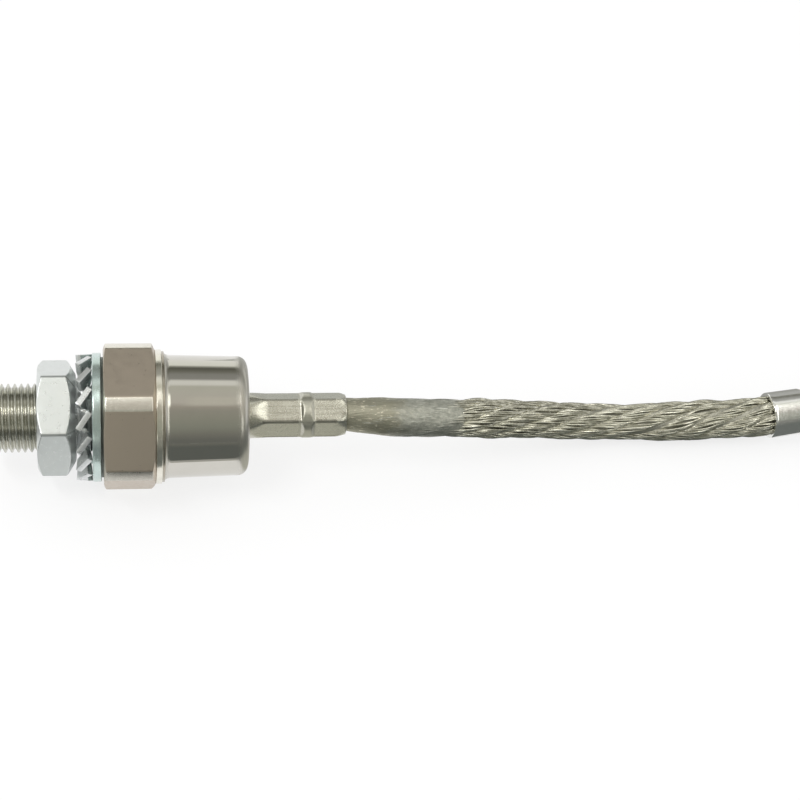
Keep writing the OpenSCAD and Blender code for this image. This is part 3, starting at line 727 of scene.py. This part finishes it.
# Materials, with lengths in metres where none is named
class Nodes:
    """Adds and links the nodes of one material."""

    def __init__(self, name):
        self.material = bpy.data.materials.new(name)
        self.material.use_nodes = True
        self.tree = self.material.node_tree
        self.shader = self.tree.nodes["Principled BSDF"]
        self.coords = self.tree.nodes.new("ShaderNodeTexCoord").outputs["Object"]

    def give(self, socket, value):
        """Links an output to the socket, or sets the socket's own number, vector or colour."""
        if hasattr(value, "is_output"):
            self.tree.links.new(value, socket)
        elif socket.type == "RGBA":
            socket.default_value = (*value, 1)
        else:
            socket.default_value = value

    def add(self, kind, **inputs):
        node = self.tree.nodes.new(kind)
        for key, value in inputs.items():
            self.give(node.inputs[key], value)
        return node

    def axes(self):
        """The outputs X, Y and Z of the point that is shaded."""
        return self.add("ShaderNodeSeparateXYZ", Vector=self.coords).outputs

    def noise(self, scale, stretch=None, detail=4.0, rough=0.55):
        source = self.coords
        if stretch:
            source = self.add("ShaderNodeMapping", Vector=source, Scale=stretch).outputs[0]
        return self.add("ShaderNodeTexNoise", Vector=source, Scale=scale, Detail=detail,
                        Roughness=rough).outputs["Fac"]

    def span(self, value, low, high, to_low, to_high):
        """Maps a value from one range to another, and holds it at the ends."""
        node = self.add("ShaderNodeMapRange", Value=value)
        for k, v in enumerate((low, high, to_low, to_high)):
            node.inputs[k + 1].default_value = v
        return node.outputs[0]

    def vary(self, noise, to_low, to_high, swing=0.2):
        """Maps a noise, which swings by about this much round 0.5, to a range."""
        return self.span(noise, 0.5 - swing, 0.5 + swing, to_low, to_high)

    def mix(self, factor, a, b):
        node = self.tree.nodes.new("ShaderNodeMix")
        node.data_type = "RGBA"
        for socket, value in ((node.inputs[0], factor), (node.inputs[6], a), (node.inputs[7], b)):
            self.give(socket, value)
        return node.outputs[2]

    def calc(self, operation, *values):
        node = self.tree.nodes.new("ShaderNodeMath")
        node.operation = operation
        for socket, value in zip(node.inputs, values):
            self.give(socket, value)
        return node.outputs[0]

    def bump(self, height, strength, distance):
        return self.add("ShaderNodeBump", Height=height, Strength=strength, Distance=distance).outputs[0]

    def out(self, socket, value):
        self.give(self.shader.inputs[socket], value)


MICRON = 0.000001
DULLER = 0.28  # what a blurred span adds to the roughness
# Along X, where the wires come out of the solder, and where the solder turns grey
FREE_X, GREY_X = (0.0815, 0.086), (0.067, 0.072)
NICKEL = (0.64, 0.62, 0.57)
# How a pattern of marks is stretched: turned round the axis, drawn along it, or even
TURNED = (2600.0, 40.0, 40.0)
AXIAL = (60.0, 2500.0, 2500.0)
EVEN = (2500.0, 2500.0, 2500.0)


def metal(name, light, dark, rough, marks, depth=6.0, strength=0.4, spots=900.0, worn=0.35,
          metallic=1.0, streaks=False, blur=()):
    """Metal whose tone, gloss and fine marks vary. marks is how the marks are stretched, depth is
    their depth in microns, and blur has spans along X over which the metal gets duller."""
    n = Nodes(name)
    n.out("Metallic", metallic)
    grain = n.noise(1.0, marks, 3.0 if streaks else 6.0, 0.7)
    cloud = grain if streaks else n.noise(spots * 0.25, detail=5.0)
    n.out("Base Color", n.mix(n.vary(cloud, 0.0, 1.0, worn), dark, light))
    gloss = n.calc("ADD", n.vary(n.noise(spots, detail=3.0), rough * 0.8, rough * 1.2),
                   n.vary(grain, -0.03, 0.03, 0.15))
    for sharp, dull in blur:
        gloss = n.calc("ADD", gloss, n.span(n.axes()["X"], sharp, dull, 0.0, DULLER))
    n.out("Roughness", gloss)
    n.out("Normal", n.bump(grain, strength, depth * MICRON))
    return n.material


def wire_metal():
    """Tinned wires: dull and grey next to the solder, bright and yellowish further on, with pale specks
    that are partly the wires' own tone and partly painted glints.
    """
    n = Nodes("rope_wire")
    n.out("Metallic", 1.0)
    ragged = n.calc("ADD", n.axes()["X"], n.vary(n.noise(500.0, (1.0, 3.0, 3.0)), -0.002, 0.002))
    free = n.span(ragged, *FREE_X, 0.0, 1.0)
    grain = n.noise(1.0, (120.0, 2400.0, 2400.0), 4.0, 0.6)
    # Pale specks: partly the wires' random tone, partly painted glints
    cloud = n.span(n.noise(1.0, (250.0, 1300.0, 1300.0), 3.0), 0.46, 0.60, 0.0, 1.0)
    bright = n.mix(cloud, (0.54, 0.53, 0.445), (0.95, 0.93, 0.82))
    dull = n.mix(cloud, (0.44, 0.445, 0.40), (0.78, 0.79, 0.73))
    n.out("Base Color", n.mix(free, dull, bright))
    n.out("Roughness", n.calc("ADD", n.span(free, 0.0, 1.0, 0.42, 0.27), n.vary(grain, -0.06, 0.10)))
    n.out("Normal", n.bump(grain, 0.4, 20 * MICRON))
    return n.material


def solder_metal():
    """Solder skin: dark olive with bright specks at the tube's mouth, grey and duller further on."""
    n = Nodes("solder_skin")
    n.out("Metallic", 1.0)
    ragged = n.calc("ADD", n.axes()["X"], n.vary(n.noise(350.0), -0.002, 0.002))
    further = n.span(ragged, *GREY_X, 0.0, 1.0)
    grain = n.noise(1.0, (600.0, 2200.0, 2200.0), 4.0, 0.6)
    speck = n.span(n.noise(1.0, (600.0, 1800.0, 1800.0), 3.0), 0.58, 0.68, 0.0, 1.0)
    olive = n.mix(speck, (0.44, 0.425, 0.34), (0.92, 0.88, 0.74))
    crumbs = n.vary(n.noise(1.0, (800.0, 1300.0, 1300.0), 4.0, 0.7), 0.0, 1.0, 0.15)
    grey = n.mix(crumbs, (0.44, 0.45, 0.40), (0.68, 0.68, 0.62))
    n.out("Base Color", n.mix(further, olive, grey))
    n.out("Roughness", n.calc("ADD", n.span(further, 0.0, 1.0, 0.46, 0.55), n.vary(grain, -0.08, 0.10)))
    n.out("Normal", n.bump(grain, 0.5, 400 * MICRON))
    return n.material


def cloudy(name, light, dark, rough, scale, metallic=0.0):
    """Glass, plastic, mica or silicon, with a soft change of tone and gloss."""
    n = Nodes(name)
    n.out("Metallic", metallic)
    n.out("Base Color", n.mix(n.vary(n.noise(scale), 0.0, 1.0), dark, light))
    n.out("Roughness", n.vary(n.noise(scale * 3), rough * 0.8, rough * 1.2))
    n.out("Normal", n.bump(n.noise(scale * 6), 0.3, 10 * MICRON))
    return n.material


LOOKS = {
    "base": metal("nickel_base", (0.57, 0.495, 0.41), (0.54, 0.47, 0.39), 0.36, EVEN,
                  depth=1.5, worn=0.5, metallic=0.95),
    # Lighter turned corners: partly their finish, partly a painted highlight
    "corner": metal("nickel_corner", (0.84, 0.815, 0.735), (0.73, 0.70, 0.62), 0.20,
                    (2200.0, 500.0, 500.0), depth=10, strength=0.6, spots=2500.0, worn=0.3,
                    metallic=0.9),
    # A darker copy of the corner look: painted dark reflection on the front corner
    "low_corner": metal("nickel_low_corner", (0.58, 0.56, 0.50), (0.50, 0.48, 0.43), 0.30, EVEN,
                        depth=3),
    # Painted shade for the gap between the flat washer and the hexagon
    "groove": metal("nickel_groove", (0.27, 0.29, 0.27), (0.20, 0.22, 0.20), 0.5, TURNED),
    "stud": metal("nickel_stud", (0.66, 0.65, 0.58), (0.46, 0.46, 0.41), 0.20, TURNED),
    "zinc": metal("zinc_nut", (0.725, 0.75, 0.735), (0.68, 0.71, 0.70), 0.34, EVEN,
                  depth=0.3, metallic=0.94),
    # Darker zinc for the nut's corners: painted dark reflection
    "zinc_edge": metal("zinc_edge", (0.40, 0.42, 0.41), (0.32, 0.34, 0.33), 0.40, EVEN,
                       depth=2, metallic=0.7),
    "washer": metal("zinc_washer", (0.64, 0.75, 0.72), (0.49, 0.59, 0.57), 0.21, TURNED,
                    metallic=0.85),
    "spring": metal("spring_steel", (0.84, 0.86, 0.86), (0.60, 0.62, 0.62), 0.32, EVEN,
                    metallic=0.85),
    "ring": metal("weld_ring", (0.93, 0.91, 0.82), (0.76, 0.73, 0.64), 0.17, TURNED,
                  depth=3, strength=0.5, spots=1200.0, worn=0.2),
    "can": metal("can_nickel", NICKEL, (0.60, 0.585, 0.535), 0.055, TURNED, depth=1.5,
                 blur=((0.0156, 0.0149), (0.0303, 0.0320))),
    # Darker than the can: painted shade of the step between the ring and the can
    "flange": metal("can_flange", (0.50, 0.46, 0.39), (0.38, 0.35, 0.29), 0.22, TURNED, depth=3),
    "tube": metal("tube_nickel", (0.68, 0.67, 0.59), (0.54, 0.53, 0.46), 0.27, AXIAL,
                  depth=20, strength=0.5, worn=0.2, streaks=True),
    # Darker tube material for the crimp's corners: painted dark reflection
    "tube_edge": metal("tube_edge", (0.40, 0.39, 0.34), (0.33, 0.32, 0.275), 0.35, AXIAL, depth=10),
    "tube_ridge": metal("tube_ridge", (0.68, 0.67, 0.59), (0.54, 0.53, 0.46), 0.36, AXIAL,
                        depth=20, strength=0.5, worn=0.2, streaks=True),
    "lug": metal("lug_tin", (0.97, 0.97, 0.95), (0.86, 0.86, 0.83), 0.18, EVEN),
    "wire": wire_metal(),
    "solder": solder_metal(),
    "core": metal("rope_core", (0.56, 0.55, 0.48), (0.42, 0.41, 0.36), 0.5, AXIAL),
    "molybdenum": metal("molybdenum", (0.55, 0.56, 0.58), (0.42, 0.43, 0.45), 0.35, EVEN),
    "copper": metal("copper", (0.90, 0.55, 0.40), (0.72, 0.42, 0.30), 0.3, TURNED),
    "steel": metal("inner_steel", (0.55, 0.55, 0.56), (0.40, 0.40, 0.41), 0.3, TURNED),
    "glass": cloudy("sealing_glass", (0.05, 0.075, 0.065), (0.03, 0.045, 0.04), 0.12, 300.0),
    "silicon": cloudy("silicon", (0.28, 0.30, 0.36), (0.20, 0.22, 0.27), 0.12, 400.0, 1.0),
    "insulation": cloudy("insulation", (0.86, 0.85, 0.80), (0.78, 0.77, 0.71), 0.5, 300.0),
    "mica": cloudy("mica", (0.62, 0.54, 0.36), (0.48, 0.41, 0.27), 0.3, 500.0),
}
# Inner pieces and the seal stay as the CAD made them, each with its look
INNER = {
    "glass_seal": "glass", "lower_molybdenum_disc": "molybdenum", "silicon_wafer": "silicon",
    "upper_molybdenum_disc": "molybdenum", "contact_electrode": "copper", "inner_lead": "copper",
    "centring_sleeve": "insulation", "mica_washer": "mica", "stem_sleeve": "insulation",
    "pressure_washer": "steel", "disc_spring_1": "steel", "disc_spring_2": "steel",
    "disc_spring_3": "steel", "retaining_ring": "steel", "spring_housing": "steel",
}


def dress(piece, names):
    for name in names:
        piece.data.materials.append(LOOKS[name])


dress(rope, ROPE_LOOKS)
dress(lug, ("lug",))
for piece, _, _, names in PIECES:
    dress(piece, names)
for node, name in INNER.items():
    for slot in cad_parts[node].material_slots:
        slot.material = LOOKS[name]

# Stage, in mm: the floor, and what only reflections see
STAGE_HALF, CARD_REACH, TENT_R, FLOOR_Z, CARD_Z, STRIP_Z = 1500.0, 590, 600.0, -16.02, -15.9, -15.8
FLOOR_TONE, FLOOR_GLOW = (0.93, 0.93, 0.925), 0.75
TENT_START, TENT_END, TENT_COLS, TENT_ROWS = -60, 240, 121, 7
# The tent's brightness by the angle from the front horizon over the top, as red, green, blue
TENT = [
    (-40, (0.175, 0.18, 0.17)), (5, (0.185, 0.19, 0.175)), (15, (0.235, 0.235, 0.21)),
    (30, (0.31, 0.32, 0.275)), (48, (0.36, 0.36, 0.31)), (60, (0.385, 0.375, 0.33)),
    (68, (0.46, 0.43, 0.38)), (76, (0.62, 0.59, 0.54)), (95, (0.61, 0.60, 0.54)),
    (107, (0.60, 0.60, 0.53)), (112, (0.86, 0.86, 0.82)), (119, (0.86, 0.86, 0.82)),
    (124, (0.34, 0.34, 0.32)), (135, (0.31, 0.31, 0.29)), (143, (0.20, 0.20, 0.17)),
    (152, (0.13, 0.13, 0.11)), (157, (0.40, 0.40, 0.36)), (161, (0.95, 0.96, 0.90)),
    (180, (1.0, 1.0, 0.97)), (220, (1.0, 1.0, 0.97)),
]
# Lighter and darker patches on the tent: where along X in metres, at which angles, and their
# colour; each span ends with its softness
PATCHES = [
    ((-1.5, -0.022, 0.004), (8, 17, 3), (1.2, 1.2, 1.1)),
    ((-0.25, -0.008, 0.004), (71, 95, 3), (0.46, 0.45, 0.42)),
    ((-0.008, 0.0345, 0.004), (75, 95, 3), (1.15, 1.13, 1.05)),
    ((-0.17, -0.07, 0.01), (70, 92, 3), (1.5, 1.5, 1.43)),
    ((-0.016, -0.001, 0.001), (78, 96, 3), (4.0, 4.0, 3.9)),
    ((-0.004, 0.0, 0.001), (18, 28, 3), (1.1, 1.1, 1.05)),
    ((-0.001, 0.028, 0.003), (-5, 22, 6), (0.24, 0.235, 0.205)),
    ((0.080, 0.14, 0.006), (70, 86, 3), (0.66, 0.64, 0.57)),
    ((0.145, 0.42, 0.01), (158, 215, 4), (0.40, 0.40, 0.385)),
    ((0.335, 0.40, 0.015), (18, 98, 8), (3.2, 3.2, 3.05)),
    ((0.145, 0.43, 0.004), (70, 92, 3), (3.6, 3.6, 3.4)),
]
# The last patch is cut into bars, in metres
BAR_STEP, BAR_WIDTH, BAR_SOFT = 0.09, 0.028, 0.004
# Near edge of the dark card in front, which closes the gap between the floor and the tent
CARD_EDGE = [
    (-STAGE_HALF, -22), (-16, -22), (-15, -33), (-5, -33), (-4, -40), (0, -40), (1, -31), (13, -31),
    (15, -33), (35, -33), (37, -21), (58, -21), (62, -8), (80, -4), (92, 3), (122, 5), (158, 5),
    (163, 2), (180, 2), (185, -3), (STAGE_HALF, -3),
]
# The front card's tone where it is near and where it is far, and the Y of each in metres
CARD_NEAR, CARD_FAR = (-0.12, (0.145, 0.155, 0.145)), (-0.26, (0.195, 0.20, 0.18))
# Strips that soften the front card's edge, two grey cards behind the tube and the rope, and a small
# one above the tube, which keeps the bright bars out of the can's rounded edge
CARDS = {
    "nut_strip": ([(-19, -60), (-4, -60), (-4, -14), (-19, -14)], STRIP_Z, (0.72, 0.73, 0.72)),
    "can_shade": ([(34.5, -16), (40.5, -16), (40.5, 0), (34.5, 0)], 20.0, (0.62, 0.60, 0.54)),
    "back_card": ([(37, 25), (STAGE_HALF, 25), (STAGE_HALF, CARD_REACH), (70, CARD_REACH)], CARD_Z,
                  (0.56, 0.57, 0.55)),
    "rope_card": ([(85, 14), (STAGE_HALF, 14), (STAGE_HALF, CARD_REACH), (200, CARD_REACH)], STRIP_Z,
                  (0.34, 0.34, 0.32)),
    "can_strip": ([(15, -34), (35, -34), (35, -30), (15, -30)], STRIP_Z, (0.50, 0.50, 0.47)),
    "tube_strip": ([(37, -34), (60, -34), (60, -2), (37, -2)], STRIP_Z, (0.55, 0.55, 0.49)),
}
# The one lamp, in metres and watts
LAMP_PLACE, LAMP_AIM, LAMP_SIZE, LAMP_POWER = (-0.25, -0.12, 0.52), (0.05, 0, 0), (0.25, 0.06), 0.8


def make_floor():
    """The pale floor, which shines by itself for the camera and for reflections."""
    size = 2 * STAGE_HALF
    corners = [(-size, -size), (size, -size), (size, size), (-size, size)]
    floor = add_mesh("floor", [(*corner, FLOOR_Z) for corner in corners], [(0, 1, 2, 3)])
    n = Nodes("floor")
    rays = n.add("ShaderNodeLightPath").outputs
    seen = n.calc("MAXIMUM", rays["Is Camera Ray"], rays["Is Glossy Ray"])
    share = n.calc("MULTIPLY", n.calc("MAXIMUM", seen, rays["Is Transmission Ray"]), FLOOR_GLOW)
    n.out("Base Color", n.mix(share, FLOOR_TONE, (0.0, 0.0, 0.0)))
    n.out("Roughness", 1.0)
    n.out("Specular IOR Level", 0.0)
    n.out("Emission Color", (1.0, 1.0, 1.0))
    n.out("Emission Strength", share)
    floor.data.materials.append(n.material)


def glow(name):
    """A material that only shines; its colour goes to Emission Color."""
    n = Nodes(name)
    n.out("Base Color", (0.0, 0.0, 0.0))
    n.out("Specular IOR Level", 0.0)
    n.out("Emission Strength", 1.0)
    return n


def only_reflected(piece, n, colour):
    """The piece shines in this colour, but only into reflections."""
    n.out("Emission Color", colour)
    piece.data.materials.append(n.material)
    for flag in ("camera", "diffuse", "transmission", "volume_scatter", "shadow"):
        setattr(piece, "visible_" + flag, False)


def tent_ramp(n, angle, low, high):
    """The colours of TENT by angle."""
    ramp = n.tree.nodes.new("ShaderNodeValToRGB")
    stops = ramp.color_ramp.elements
    for k, (at, tone) in enumerate(TENT):
        place = (at - low) / (high - low)
        stop = stops[k] if k < 2 else stops.new(place)
        stop.position, stop.color = place, (*tone, 1)
    n.give(ramp.inputs[0], n.span(angle, math.radians(low), math.radians(high), 0, 1))
    return ramp.outputs[0]


def tent_colour(n):
    """The ramp round the X axis, with the patches over it."""
    low, high = -90, 270
    x, y, z = n.axes()
    angle = n.calc("ARCTAN2", z, n.calc("MULTIPLY", y, -1.0))
    angle = n.calc("WRAP", angle, math.radians(high), math.radians(low))
    colour = tent_ramp(n, angle, low, high)
    for patch in PATCHES:
        (x0, x1, soft_x), (a0, a1, soft_a), tone = patch
        inside = n.calc("MULTIPLY", n.span(x, x0 - soft_x, x0 + soft_x, 0, 1),
                        n.span(x, x1 - soft_x, x1 + soft_x, 1, 0))
        for a, start, end in ((a0, 0, 1), (a1, 1, 0)):
            edge = n.span(angle, math.radians(a - soft_a), math.radians(a + soft_a), start, end)
            inside = n.calc("MULTIPLY", inside, edge)
        if patch is PATCHES[-1]:
            place = n.calc("FLOORED_MODULO", x, BAR_STEP)
            inside = n.calc("MULTIPLY", inside, n.span(place, BAR_WIDTH, BAR_WIDTH + BAR_SOFT, 1, 0))
        colour = n.mix(inside, colour, tone)
    return colour


def make_tent():
    """A light tent round the scene, open at its ends, that only reflections see."""
    a = np.radians(np.linspace(TENT_START, TENT_END, TENT_COLS))
    rings = [np.stack([x + 0 * a, -TENT_R * np.cos(a), TENT_R * np.sin(a)], -1)
             for x in np.linspace(-STAGE_HALF, STAGE_HALF, TENT_ROWS)]
    starts = [i * TENT_COLS + j for i in range(TENT_ROWS - 1) for j in range(TENT_COLS - 1)]
    faces = [(k, k + 1, k + 1 + TENT_COLS, k + TENT_COLS) for k in starts]
    n = glow("tent")
    only_reflected(add_mesh("tent", np.concatenate(rings), faces), n, tent_colour(n))


def make_cards():
    edge = CARD_EDGE + [(STAGE_HALF, -CARD_REACH), (-STAGE_HALF, -CARD_REACH)]
    card = add_mesh("card", [(x, y, CARD_Z) for x, y in edge], [tuple(range(len(edge)))])
    n = glow("card")
    (near, near_tone), (far, far_tone) = CARD_NEAR, CARD_FAR
    only_reflected(card, n, n.mix(n.span(n.axes()["Y"], near, far, 0, 1), near_tone, far_tone))
    for name, (corners, z, tone) in CARDS.items():
        card = add_mesh(name, [(*corner, z) for corner in corners], [(0, 1, 2, 3)])
        only_reflected(card, glow(name), tone)


def make_lamp():
    data = bpy.data.lights.new("key", "AREA")
    data.shape, data.energy = "RECTANGLE", LAMP_POWER
    data.size, data.size_y = LAMP_SIZE
    lamp = bpy.data.objects.new("key", data)
    lamp.location = LAMP_PLACE
    lamp.rotation_euler = (Vector(LAMP_AIM) - lamp.location).to_track_quat("-Z", "Y").to_euler()
    bpy.context.collection.objects.link(lamp)


def make_world():
    world = bpy.data.worlds.new("world")
    world.use_nodes = True
    background = world.node_tree.nodes["Background"]
    background.inputs["Color"].default_value = (1, 1, 1, 1)
    background.inputs["Strength"].default_value = 1.0
    bpy.context.scene.world = world


make_floor()
make_tent()
make_cards()
make_lamp()
make_world()
bpy.context.scene.view_settings.view_transform = "Standard"
